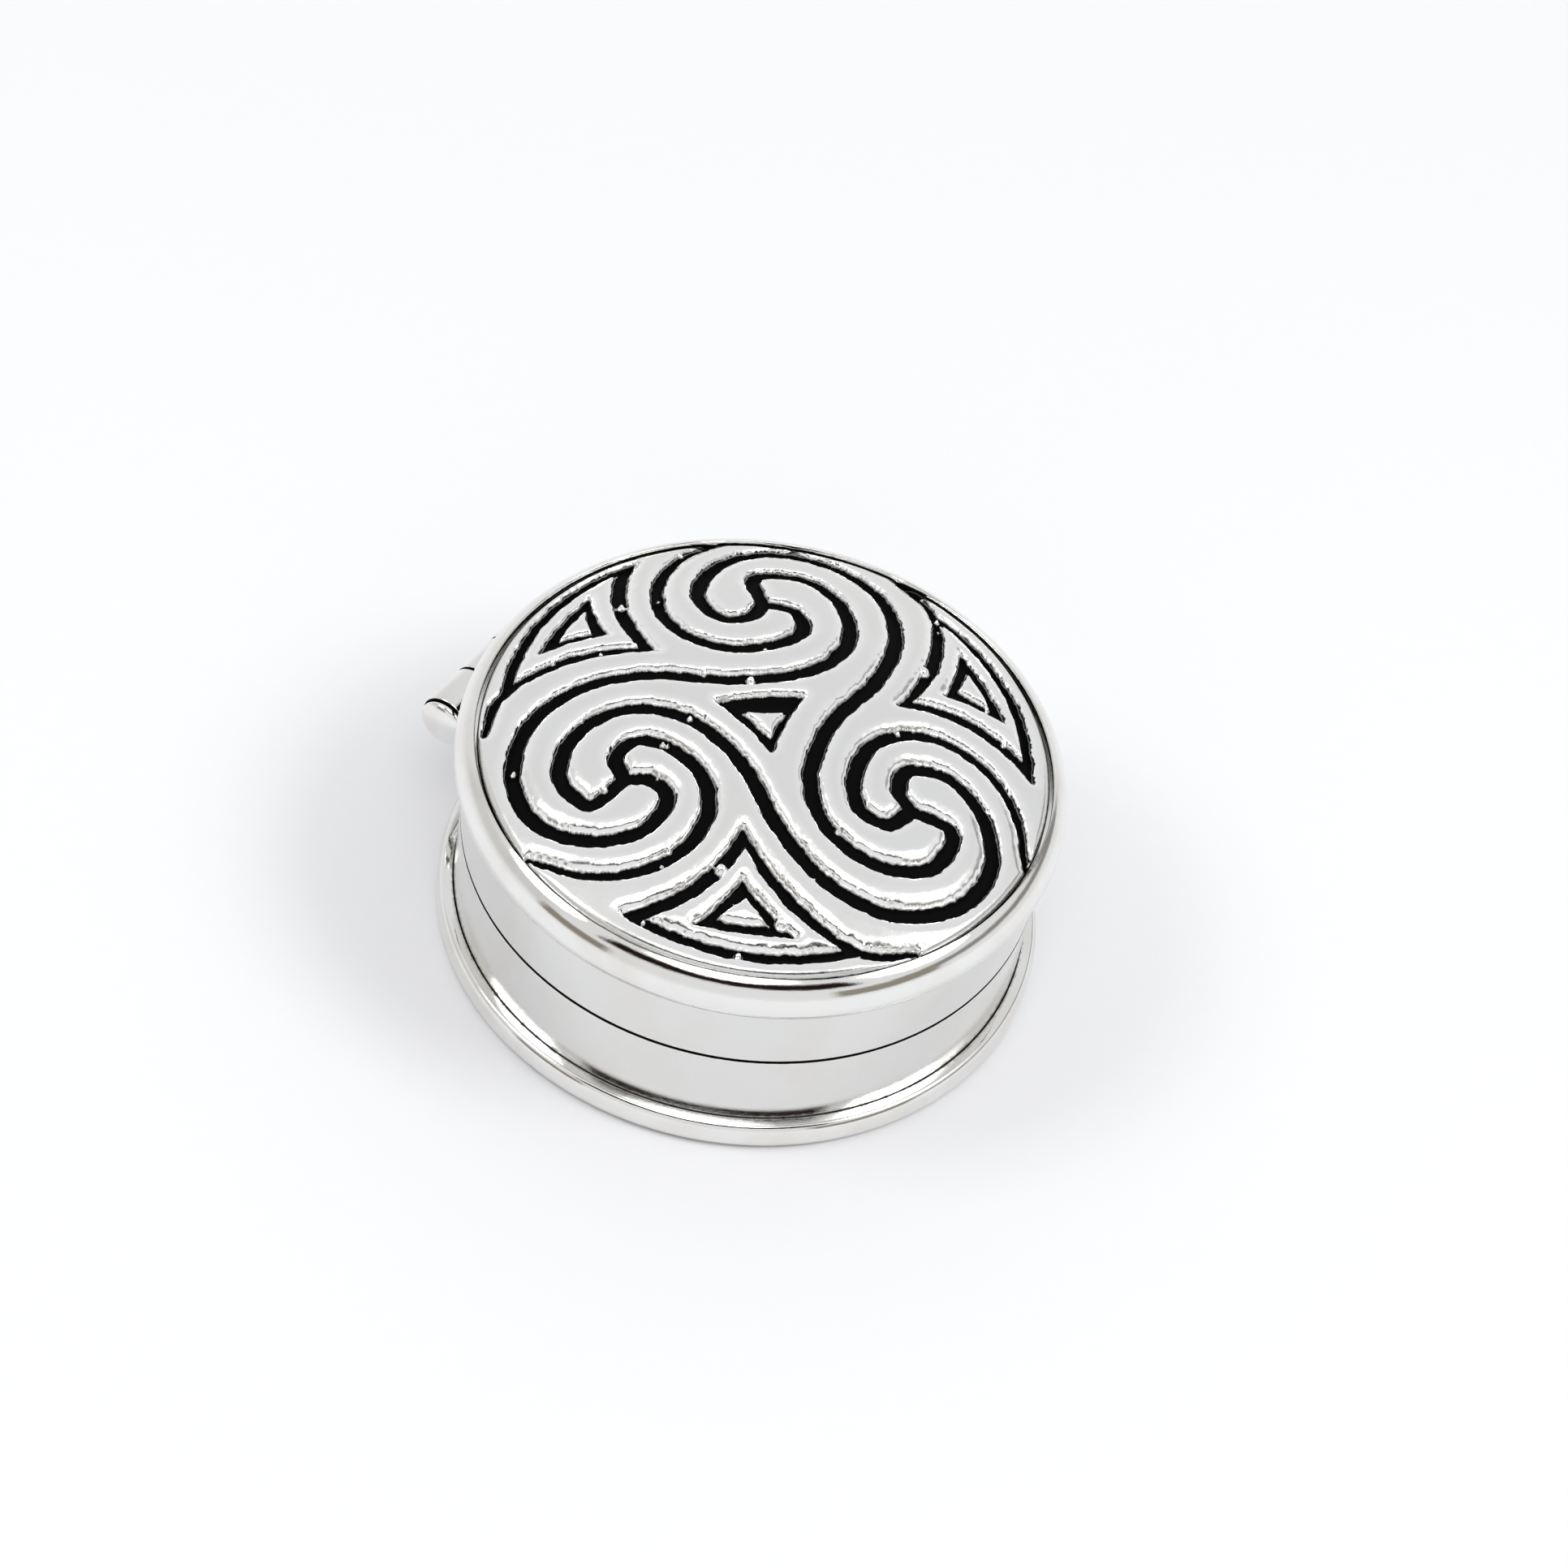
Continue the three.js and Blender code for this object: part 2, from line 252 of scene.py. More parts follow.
def spin_section(section, turns, axis="Z", centre=(0, 0, 0), closed=True):
    """A bmesh turned from (distance from the axis, place along it) points."""
    bm = bmesh.new()
    along_x = axis == "X"
    spots = [
        bm.verts.new((along, distance, 0) if along_x else (distance, 0, along))
        for distance, along in section
    ]
    edges = [bm.edges.new(pair) for pair in zip(spots, spots[1:])]
    if closed:
        edges.append(bm.edges.new((spots[-1], spots[0])))
    bmesh.ops.spin(
        bm, geom=spots + edges, cent=(0, 0, 0), axis=(1, 0, 0) if along_x else (0, 0, 1),
        angle=2 * math.pi, steps=turns, use_merge=True, use_duplicate=False)
    bmesh.ops.remove_doubles(bm, verts=bm.verts, dist=1e-7)
    bmesh.ops.recalc_face_normals(bm, faces=bm.faces)
    bmesh.ops.translate(bm, verts=bm.verts, vec=centre)
    return bm


def crease(bm, angle):
    """Smooth faces, with the sharp edges kept."""
    for face in bm.faces:
        face.smooth = True
    for edge in bm.edges:
        edge.smooth = len(edge.link_faces) != 2 or edge.calc_face_angle(0) < angle


def finish_piece(bm, name, node, material, patina_and_shade=None, sharp=math.radians(38)):
    """Makes the bmesh an object that stands for a CAD node and rides on its body.

    patina_and_shade gives a vertex's share of blackening, from 0 to 1: oxide in the grooves, and
    painted shade in seams, corners and gaps.
    """
    crease(bm, sharp)
    mesh = bpy.data.meshes.new(name)
    bm.to_mesh(mesh)
    bm.free()
    shade = mesh.attributes.new("patina_and_shade", "FLOAT", "POINT")
    if patina_and_shade is not None:
        shade.data.foreach_set("value", [patina_and_shade(vertex.co) for vertex in mesh.vertices])
    piece = bpy.data.objects.new(name, mesh)
    bpy.context.scene.collection.objects.link(piece)
    mesh.materials.append(material)
    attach(piece, BODY_OF[node])
    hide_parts(node)
    return piece


def near(value, target, width):
    """1 at the target, falling to 0 over a width to either side."""
    return max(0.0, 1.0 - abs(value - target) / width)


# ---- Materials ------------------------------------------------------------------


def add_node(tree, kind, **settings):
    """A shader node; settings name its properties, and the rest are its input sockets."""
    node = tree.nodes.new(kind)
    for key, value in settings.items():
        if hasattr(node, key):
            setattr(node, key, value)
        else:
            node.inputs[key.replace("_", " ")].default_value = value
    return node


def coordinates(tree, stretch=(1, 1, 1)):
    """Object coordinates in millimetres, stretched along the axes."""
    place = tree.nodes.new("ShaderNodeTexCoord")
    mapping = tree.nodes.new("ShaderNodeMapping")
    mapping.inputs["Scale"].default_value = [share / MM for share in stretch]
    tree.links.new(place.outputs["Object"], mapping.inputs["Vector"])
    return mapping.outputs["Vector"]


def noise(tree, vector, scale, detail=3.0, roughness=0.5, distortion=0.0):
    texture = add_node(tree, "ShaderNodeTexNoise", Scale=scale, Detail=detail,
                       Roughness=roughness, Distortion=distortion)
    tree.links.new(vector, texture.inputs["Vector"])
    return texture.outputs["Fac"]


def ranged(tree, value, source, target):
    """The value moved from one range to another, and kept inside it."""
    node = tree.nodes.new("ShaderNodeMapRange")
    for name, number in zip(("From Min", "From Max", "To Min", "To Max"), (*source, *target)):
        node.inputs[name].default_value = number
    tree.links.new(value, node.inputs["Value"])
    return node.outputs["Result"]


def calculated(tree, operation, first, second, clamp=False):
    node = tree.nodes.new("ShaderNodeMath")
    node.operation = operation
    node.use_clamp = clamp
    for socket, value in zip(node.inputs, (first, second)):
        if isinstance(value, (int, float)):
            socket.default_value = value
        else:
            tree.links.new(value, socket)
    return node.outputs["Value"]


def mixed(tree, factor, first, second):
    node = tree.nodes.new("ShaderNodeMix")
    node.data_type = "RGBA"
    tree.links.new(factor, node.inputs["Factor"])
    for name, value in (("A", first), ("B", second)):
        socket = next(s for s in node.inputs if s.name == name and s.type == "RGBA")
        if isinstance(value, bpy.types.NodeSocket):
            tree.links.new(value, socket)
        else:
            socket.default_value = (*value, 1)
    return next(s for s in node.outputs if s.type == "RGBA")


def silver(name, polish, wear, brush, tarnish, painted_shade_tone=1.0):
    """Silver with fine wear, faint warm tarnish, painted highlight on band edges, and blackening:
    oxide in the grooves, painted shade in seams, corners and gaps.

    polish is the roughness of the bare metal, wear the height of its scratches, brush how the
    scratches stretch along the axes, tarnish how much of the warm tint shows, and
    painted_shade_tone how much painted shade darkens the metal beside the lightest. Each finish
    is made once and then shared.
    """
    material = bpy.data.materials.get(name)
    if material is not None:
        return material
    finish = bpy.context.scene.pillbox_finish
    material = bpy.data.materials.new(name)
    material.use_nodes = True
    tree = material.node_tree
    shader = tree.nodes["Principled BSDF"]
    plain = coordinates(tree)
    brushed = coordinates(tree, brush)

    cloud = noise(tree, plain, 0.22, detail=4, roughness=0.6, distortion=0.4)
    spots = noise(tree, plain, 3.1, detail=5, roughness=0.65)
    scratches = noise(tree, brushed, 2.4, detail=6, roughness=0.7, distortion=0.2)

    tint = ranged(tree, cloud, (0.42, 0.75), (0, tarnish))
    bare = tuple(channel * painted_shade_tone for channel in finish.silver)
    metal = mixed(tree, tint, bare, tuple(finish.warm))
    # Painted highlight: the band edges take the lighter colour, as if catching the light.
    painted_edge_highlight = add_node(tree, "ShaderNodeAttribute", attribute_name="painted_edge_highlight").outputs["Fac"]
    metal = mixed(tree, painted_edge_highlight, metal, tuple(finish.bright))
    # The painted attribute blackens the metal: oxide in the grooves, and painted shade in seams,
    # corners and gaps.
    painted = add_node(tree, "ShaderNodeAttribute", attribute_name="patina_and_shade").outputs["Fac"]
    ragged = ranged(tree, spots, (0, 1), (-0.25, 0.25))
    oxide_and_shade_share = calculated(tree, "ADD", painted, ragged)
    black = ranged(tree, oxide_and_shade_share, (0.38, 0.62), (0, 1))
    tree.links.new(mixed(tree, black, metal, tuple(finish.oxide_and_shade)), shader.inputs["Base Color"])

    tree.links.new(ranged(tree, black, (0, 1), (1, 0)), shader.inputs["Metallic"])
    shader.inputs["Specular IOR Level"].default_value = 0.03
    worn = ranged(tree, scratches, (0.3, 0.75), (polish * 0.7, polish * 1.5))
    dull = calculated(tree, "MULTIPLY", black, 0.42)
    tree.links.new(calculated(tree, "ADD", worn, dull, True), shader.inputs["Roughness"])

    bump = add_node(tree, "ShaderNodeBump", Strength=wear, Distance=0.02 * MM)
    tree.links.new(calculated(tree, "ADD", scratches, spots), bump.inputs["Height"])
    tree.links.new(bump.outputs["Normal"], shader.inputs["Normal"])
    return material


def polished_silver():
    return silver("mirror_polish", polish=0.03, wear=0.12, brush=(0.5, 0.5, 6), tarnish=0.35)


# The walls' silver has its own polish and scratches. It is also painted darker, as painted shade
# for the walls' dimmer reflection.
def shaded_wall_silver():
    return silver(
        "shaded_wall_polish", polish=0.045, wear=0.16, brush=(0.4, 0.4, 9), tarnish=0.3, painted_shade_tone=0.895)


def satin_silver():
    return silver("satin_finish", polish=0.28, wear=0.5, brush=(1, 1, 4), tarnish=0.15)


def antiqued_silver():
    return silver("antiqued_relief", polish=0.16, wear=0.35, brush=(1, 1, 1), tarnish=0.12)


def floor_material():
    finish = bpy.context.scene.pillbox_finish
    material = bpy.data.materials.new("pale_floor")
    material.use_nodes = True
    tree = material.node_tree
    shader = tree.nodes["Principled BSDF"]
    grain = noise(tree, coordinates(tree), 0.9, detail=6, roughness=0.7)
    pale = tuple(finish.floor)
    mottle = 0.985
    dim = tuple(channel * mottle for channel in pale)
    tree.links.new(mixed(tree, grain, dim, pale), shader.inputs["Base Color"])
    shader.inputs["Roughness"].default_value = 0.7
    return material


# ---- Body and lid, turned from sheet and wire -----------------------------------


class PILLBOX_OT_base(Operator):
    """Turns the floor of the body and the half-round bead round its foot."""

    bl_idname = "pillbox.base"
    bl_label = "Base and foot bead"

    def execute(self, context):
        sizes = context.scene.pillbox_sizes
        radius = reach("base_plate")
        top = highest("base_plate")
        disc = softened(
            [(0, 0), (radius, 0), (radius, top), (0, top)], sizes.edge_radius, closed=False)
        bm = spin_section(disc, sizes.turns, closed=False)
        finish_piece(bm, "body_floor", "base_plate", satin_silver())

        bead = highest("foot_bead") / 2
        inner = reach("foot_bead") - bead
        ledge = inner + sizes.foot_ledge
        bulge = bead - sizes.foot_ledge
        steps = 20
        angles = [math.pi * (i / steps - 0.5) for i in range(1, steps)]
        section = [
            Vector((inner, 2 * bead)),
            Vector((inner, 0)),
            Vector((ledge, 0)),
            *(Vector((ledge + bulge * math.cos(angle), bead + bead * math.sin(angle)))
              for angle in angles),
            Vector((ledge, 2 * bead)),
        ]
        bm = spin_section(section, sizes.turns)
        painted_shade_width = 0.12 * MM

        # Painted shade: the top of the bead darkens where it meets the wall.
        def patina_and_shade(spot):
            from_wall = math.hypot(spot.x, spot.y)
            return 0.5 * near(from_wall, inner, painted_shade_width) if spot.z > bead else 0

        finish_piece(
            bm, "foot_moulding", "foot_bead", polished_silver(), patina_and_shade)
        return {"FINISHED"}


def turn_wall(node, name, seam):
    """A wall's ring, with its edges softened and darkened with painted shade where they meet
    their neighbours.
    """
    sizes = bpy.context.scene.pillbox_sizes
    outer = reach(node)
    inner = outer - sizes.wall_thickness
    bottom = lowest(node)
    top = highest(node)
    section = softened(
        [(inner, bottom), (outer, bottom), (outer, top), (inner, top)], sizes.edge_radius)
    bm = spin_section(section, sizes.turns)
    # Rings of vertices near both edges keep the painted shade at the seam narrow.
    for inset in (0.15 * MM, 1.2 * MM):
        for height in (bottom + inset, top - inset):
            bmesh.ops.bisect_plane(
                bm, geom=bm.verts[:] + bm.edges[:] + bm.faces[:], plane_co=(0, 0, height),
                plane_no=(0, 0, 1))
    # Painted shade: a narrow dark line along the seam between body and lid.
    painted_shade_width = 0.07 * MM
    finish_piece(
        bm, name, node, shaded_wall_silver(),
        lambda spot: 1.3 * near(spot.z, seam, painted_shade_width))


class PILLBOX_OT_walls(Operator):
    """Turns the walls of the body and of the lid, which meet at the seam."""

    bl_idname = "pillbox.walls"
    bl_label = "Walls"

    def execute(self, context):
        turn_wall("body_wall", "body_side", highest("body_wall"))
        turn_wall("lid_wall", "lid_side", lowest("lid_wall"))
        return {"FINISHED"}


class PILLBOX_OT_sleeve(Operator):
    """Turns the sleeve inside the body, with its top edge eased for the lid."""

    bl_idname = "pillbox.sleeve"
    bl_label = "Guide sleeve"

    def execute(self, context):
        sizes = context.scene.pillbox_sizes
        outer = reach("guide_sleeve")
        inner = outer - sizes.sleeve_thickness
        bottom = lowest("guide_sleeve")
        top = highest("guide_sleeve")
        ease = sizes.sleeve_thickness / 2
        section = softened(
            [(inner, bottom), (outer, bottom), (outer, top - ease), (outer - ease, top),
             (inner, top)], sizes.edge_radius)
        bm = spin_section(section, sizes.turns)
        finish_piece(bm, "inner_sleeve", "guide_sleeve", satin_silver())
        return {"FINISHED"}


def dome_height(radius, depth):
    """Height of the domed lid at a radius, a depth below the plaque's top."""
    sizes = bpy.context.scene.pillbox_sizes
    rim = reach("ornament_plaque")
    return highest("ornament_plaque") - depth - sizes.dome_rise * (radius / rim) ** 2


class PILLBOX_OT_rim_bead(Operator):
    """Turns the heavy bead round the lid, with the seat that the plaque lies in."""

    bl_idname = "pillbox.rim_bead"
    bl_label = "Rim bead"

    def execute(self, context):
        sizes = context.scene.pillbox_sizes
        outer = reach("lid_wall")
        inner = outer - sizes.wall_thickness
        bottom = lowest("lid_rim_bead")
        radius = sizes.bead_radius
        middle = reach("lid_rim_bead") - radius
        height = bottom + math.sqrt(radius ** 2 - (outer - middle) ** 2)
        seat = reach("ornament_plaque") + sizes.plaque_gap
        shelf = lowest("lid_plate")
        start = -math.acos((outer - middle) / radius)
        end = math.acos((seat - middle) / radius)
        lip = height + radius * math.sin(end)
        painted_shade_top = lip - 0.3 * MM
        section = [
            Vector((inner, bottom)),
            Vector((outer, bottom)),
            *arc((middle, height), radius, start, end, 30),
            Vector((seat + 0.06 * MM, lip - 0.02 * MM)),
            Vector((seat, lip - 0.1 * MM)),
            Vector((seat, painted_shade_top - 0.1 * MM)),
            Vector((seat, shelf)),
            Vector((inner, shelf)),
        ]
        bm = spin_section(section, sizes.turns)

        # Painted shade: black on the seat wall in the gap beside the plaque, and on the lower
        # outside of the bead, where shade falls under it.
        def patina_and_shade(spot):
            underneath = (height - spot.z) / radius
            if math.hypot(spot.x, spot.y) < middle:
                return 0.9 if shelf < spot.z < painted_shade_top else 0
            return min(1.0, max(0.0, (underneath - 0.47) / 0.1))

        finish_piece(
            bm, "lid_rim", "lid_rim_bead", polished_silver(), patina_and_shade)
        return {"FINISHED"}


class PILLBOX_OT_lid_plate(Operator):
    """Turns the domed sheet that closes the lid from inside."""

    bl_idname = "pillbox.lid_plate"
    bl_label = "Lid plate"

    def execute(self, context):
        sizes = context.scene.pillbox_sizes
        rim = reach("lid_plate")
        over = highest("ornament_plaque") - highest("lid_plate")
        under = over + sizes.lid_plate_thickness
        rings = 24
        radii = [rim * i / rings for i in range(rings + 1)]
        section = [(radius, dome_height(radius, under)) for radius in radii]
        section += [(radius, dome_height(radius, over)) for radius in reversed(radii)]
        bm = spin_section(section, sizes.turns, closed=False)
        finish_piece(bm, "lid_lining", "lid_plate", satin_silver())
        return {"FINISHED"}


# ---- The plaque and its pattern ---------------------------------------------------
# Outlines are in plaque radii. One third is given, and two turned copies make the rest.

PATTERN_TURN = math.radians(-65)

# The groove that winds out of one spiral's eye and into the next one's.
LINK_GROOVE = [
    (-0.085, 0.585), (-0.115, 0.505), (-0.205, 0.47), (-0.30, 0.58), (-0.27, 0.77),
    (-0.12, 0.91), (0.10, 0.915), (0.295, 0.78), (0.37, 0.57), (0.34, 0.33), (0.21, 0.03),
    (0.19, -0.24), (0.30, -0.42), (0.50, -0.48), (0.66, -0.41), (0.70, -0.25), (0.55, -0.22),
]

# The groove that winds out of the eye to the plaque's edge.
BORDER_GROOVE = [
    (-0.085, 0.585), (0.025, 0.57), (0.06, 0.475), (-0.03, 0.37), (-0.18, 0.32),
    (-0.32, 0.36), (-0.42, 0.48), (-0.445, 0.65), (-0.39, 0.82), (-0.24, 0.98),
]

# The thin groove that runs from a corner field towards the edge.
TAIL_GROOVE = [(0.50, 0.75), (0.46, 0.83), (0.33, 0.93)]

# Sunk fields with the island in each: three corners, and how far each side bows out.
CORNER_FIELD = (
    ([(0.475, 0.81), (0.94, 0.10), (0.43, 0.225)], (0.108, -0.068, -0.05)),
    ([(0.51, 0.755), (0.90, 0.18), (0.47, 0.27)], (0.074, -0.05, -0.05)),
)
INNER_FIELD = (
    ([(0.605, 0.61), (0.807, 0.33), (0.584, 0.35)], (0.01, -0.01, -0.01)),
    ([(0.637, 0.523), (0.75, 0.364), (0.617, 0.396)], (0.01, 0, 0)),
)
MIDDLE_FIELD = (
    ([(0.108, 0.151), (0.032, -0.14), (-0.183, 0.043)], (-0.01, -0.01, 0.01)),
    ([(0.059, 0.054), (0.022, -0.081), (-0.092, 0.016)], (0, 0, 0)),
)

# No two spirals are quite alike: each one's swell, and its shift, around its middle.
SPIRAL_MIDDLE = np.array((-0.12, 0.56))
DRIFT_REACH = 0.43
DRIFTS = [(0.088, (-0.031, 0.016)), (0, (-0.025, -0.01)), (-0.021, (0.016, 0.023))]

# Specks of silver left in the grooves: place, and radius.
SPECKS = [
    (-0.10, 0.165, 0.020), (0.487, 0.44, 0.026), (-0.068, -0.645, 0.024), (0.045, -0.935, 0.018),
    (-0.83, -0.34, 0.012), (-0.60, 0.49, 0.016), (0.165, -0.79, 0.026), (-0.41, -0.075, 0.013),
    (-0.035, -0.04, 0.018), (0.60, -0.19, 0.014), (-0.35, -0.185, 0.012), (-0.51, -0.395, 0.013),
]

# How many finer crumbs are strewn over the whole pattern.
CRUMBS = 70


def turned_by(points, angle):
    """The points turned about the plaque's middle."""
    cosine = math.cos(angle)
    sine = math.sin(angle)
    return np.asarray(points, float) @ np.array([[cosine, sine], [-sine, cosine]])


def on_plaque(points, third):
    """Where pattern points fall on the plaque, in one of its thirds, in plaque radii."""
    step = -2 * math.pi / 3
    placed = turned_by(points, third * step)
    moved = placed.copy()
    for i, (swell, shift) in enumerate(DRIFTS):
        away = placed - turned_by(SPIRAL_MIDDLE, i * step)
        weight = np.exp(-(away ** 2).sum(1, keepdims=True) / (2 * DRIFT_REACH ** 2))
        moved += weight * (swell * away + np.array(shift))
    return turned_by(moved, PATTERN_TURN)


def smooth_line(points, steps=9):
    """A centripetal curve through the points."""
    ends = [2 * points[0] - points[1], *points, 2 * points[-1] - points[-2]]
    line = []
    for p0, p1, p2, p3 in zip(ends, ends[1:], ends[2:], ends[3:]):
        t0 = 0.0
        t1 = t0 + math.sqrt(np.linalg.norm(p1 - p0))
        t2 = t1 + math.sqrt(np.linalg.norm(p2 - p1))
        t3 = t2 + math.sqrt(np.linalg.norm(p3 - p2))
        for step in range(steps):
            t = t1 + (t2 - t1) * step / steps
            a1 = p0 + (p1 - p0) * (t - t0) / (t1 - t0)
            a2 = p1 + (p2 - p1) * (t - t1) / (t2 - t1)
            a3 = p2 + (p3 - p2) * (t - t2) / (t3 - t2)
            b1 = a1 + (a2 - a1) * (t - t0) / (t2 - t0)
            b2 = a2 + (a3 - a2) * (t - t1) / (t3 - t1)
            line.append(b1 + (b2 - b1) * (t - t1) / (t2 - t1))
    line.append(points[-1])
    return np.array(line)


def distance_to_line(spots, line, widths=None):
    """Distance from each spot to a line, less the half width of the line there."""
    best = np.full(len(spots), np.inf)
    for i in range(len(line) - 1):
        start = line[i]
        along = line[i + 1] - start
        share = np.clip(((spots - start) @ along) / (along @ along), 0, 1)
        away = np.linalg.norm(spots - start - share[:, None] * along, axis=1)
        if widths is not None:
            away -= widths[i] + (widths[i + 1] - widths[i]) * share
        np.minimum(best, away, out=best)
    return best


def groove_distance(spots, points, third, half, end_share):
    """Signed distance to a groove that narrows at its far end to a share of its width."""
    line = smooth_line(on_plaque(points, third))
    along = np.linspace(0, 1, len(line))
    return distance_to_line(spots, line, half * (1 + (end_share - 1) * along ** 4))


def triangle_distance(spots, corners, bows, third, steps=12):
    """Signed distance to a triangle with bowed sides, negative inside."""
    points = on_plaque(corners, third)
    outline = []
    for i, bow in enumerate(bows):
        a, b = points[i], points[(i + 1) % 3]
        outwards = np.array((a[1] - b[1], b[0] - a[0])) / np.linalg.norm(b - a)
        control = (a + b) / 2 + 2 * bow * outwards
        for t in np.arange(steps) / steps:
            outline.append((1 - t) ** 2 * a + 2 * t * (1 - t) * control + t ** 2 * b)
    outline = np.array(outline)
    after = np.roll(outline, -1, axis=0)
    inside = np.zeros(len(spots), bool)
    for (x1, y1), (x2, y2) in zip(outline, after):
        crosses = (y1 > spots[:, 1]) != (y2 > spots[:, 1])
        rise = (y2 - y1) if y2 != y1 else 1e-12
        inside ^= crosses & (spots[:, 0] < (x2 - x1) * (spots[:, 1] - y1) / rise + x1)
    away = distance_to_line(spots, np.vstack([outline, outline[:1]]))
    return np.where(inside, -away, away)


def field_distance(spots, field, third):
    """Signed distance to a sunk field around its island."""
    ground, island = field
    return np.maximum(
        triangle_distance(spots, *ground, third), -triangle_distance(spots, *island, third))


def ripple(spots, pitch, seed):
    """Smooth unevenness between -1 and 1, repeating about every pitch."""
    total = np.zeros(len(spots))
    for i in range(5):
        angle = seed + i * 2.4
        size = 2 * math.pi / pitch * (0.7 + 0.17 * i)
        total += np.sin(size * (spots @ (math.cos(angle), math.sin(angle))) + seed * (i + 1.7))
    return total / 3


def pattern_distance(spots, half):
    """Signed distance to the grooves, in plaque radii, negative inside them."""
    best = field_distance(spots, MIDDLE_FIELD, 0)
    for third in range(3):
        for away in (
            groove_distance(spots, LINK_GROOVE, third, half, 1),
            groove_distance(spots, BORDER_GROOVE, third, half, 0.3),
            groove_distance(spots, TAIL_GROOVE, third, half * 0.6, 0.4),
            field_distance(spots, CORNER_FIELD, third),
            field_distance(spots, INNER_FIELD, third),
        ):
            np.minimum(best, away, out=best)
    best += 0.0022 * ripple(spots, 0.09, 1.3) + 0.0015 * ripple(spots, 0.035, 4.1)
    pick = np.random.default_rng(11)
    places = pick.uniform(-0.9, 0.9, (CRUMBS, 2))
    crumbs = np.column_stack([places, pick.uniform(0.006, 0.014, CRUMBS)])
    for x, y, size in [*SPECKS, *crumbs]:
        centre = turned_by((x, y), PATTERN_TURN)
        away = np.linalg.norm(spots - centre, axis=1)
        best = np.maximum(best, size - away)
    return best


def drawn_to_edges(spots, half, levels, pitch):
    """The spots, with those near a level of the pattern's distance moved onto it.

    pitch is the spacing of the spots. Those beside the rim stay where they are.
    """
    clear = pattern_distance(spots, half)
    step = 0.0005
    slope = np.stack([
        (pattern_distance(spots + np.array(offset), half) - clear) / step
        for offset in ((step, 0), (0, step))], axis=1)
    levels = np.array(levels)
    gap = levels[np.abs(clear[:, None] - levels).argmin(1)] - clear
    rimward = np.linalg.norm(spots, axis=1) > 1 - 1.2 * pitch
    still = (np.abs(gap) > 0.5 * pitch) | rimward
    move = (gap / (slope ** 2).sum(1))[:, None] * slope
    return np.where(still[:, None], spots, spots + move)


def smooth_step(value):
    value = np.clip(value, 0, 1)
    return value * value * (3 - 2 * value)


def plaque_spots(cells, half):
    """A bmesh grid over the round plaque, and where its vertices lie in plaque radii."""
    ornament = bpy.context.scene.pillbox_ornament
    rim = reach("ornament_plaque")
    bm = bmesh.new()
    bmesh.ops.create_grid(bm, x_segments=cells, y_segments=cells, size=1)
    square = np.array([vertex.co[:2] for vertex in bm.verts])
    spots = square * np.sqrt(1 - square[:, ::-1] ** 2 / 2)
    levels = [(ornament.shoulder - ornament.wall * share) / rim for share in (0, 0.5, 1)]
    return bm, drawn_to_edges(spots, half, levels, pitch=1.9 / cells)


def plaque_relief(spots, clear):
    """Height of the plaque's top at spots that lie clear of the grooves by a distance."""
    ornament = bpy.context.scene.pillbox_ornament
    away = np.linalg.norm(spots, axis=1)
    drop = ornament.groove_depth * smooth_step((ornament.shoulder - clear) / ornament.wall)
    fall = np.clip(1 - (clear - ornament.shoulder) / ornament.crown_width, 0, 1) ** 2
    inwards = np.clip((1 - away) * reach("ornament_plaque") / ornament.edge_roll, 0, 1)
    roll = ornament.edge_roll * (1 - np.sqrt(1 - (1 - inwards) ** 2))
    fine = 0.006 * MM
    broad = 0.008 * MM
    uneven = fine * ripple(spots, 0.16, 2.2) + broad * ripple(spots, 0.5, 0.7)
    depth = np.maximum(drop + ornament.crown * fall, roll) + uneven * (inwards > 0)
    top = highest("ornament_plaque") - (fine + broad)
    return top - bpy.context.scene.pillbox_sizes.dome_rise * away ** 2 - depth


def plaque_oxide_and_shade(spots, clear):
    """Share of blackening: full in the grooves, where it is oxide, and less in a thin line round
    the edge, where it is painted shade.
    """
    ornament = bpy.context.scene.pillbox_ornament
    inwards = (1 - np.linalg.norm(spots, axis=1)) * reach("ornament_plaque")
    painted_shade_width = 0.1 * MM
    grooves = (ornament.shoulder - 0.2 * ornament.wall - clear) / (0.6 * ornament.wall)
    return np.maximum(np.clip(grooves, 0, 1), 0.8 * np.clip(1 - inwards / painted_shade_width, 0, 1))


def close_plaque(bm):
    """Takes the grid's edge down and inwards, along the dome, and fills the middle."""
    sizes = bpy.context.scene.pillbox_sizes
    rim = reach("ornament_plaque")
    underside = dome_height(rim, sizes.plaque_thickness)
    edge = [item for item in bm.edges if item.is_boundary]
    for share in (1.0, 0.96, 0.8, 0.6, 0.4, 0.2):
        grown = bmesh.ops.extrude_edge_only(bm, edges=edge)["geom"]
        fresh = [item for item in grown if isinstance(item, bmesh.types.BMVert)]
        edge = [item for item in grown if isinstance(item, bmesh.types.BMEdge)]
        level = underside + sizes.dome_rise * (1 - share ** 2)
        for vertex in fresh:
            flat = Vector(vertex.co[:2]).normalized() * rim * share
            vertex.co = (flat.x, flat.y, level)
    bmesh.ops.holes_fill(bm, edges=edge)
    bmesh.ops.recalc_face_normals(bm, faces=bm.faces)


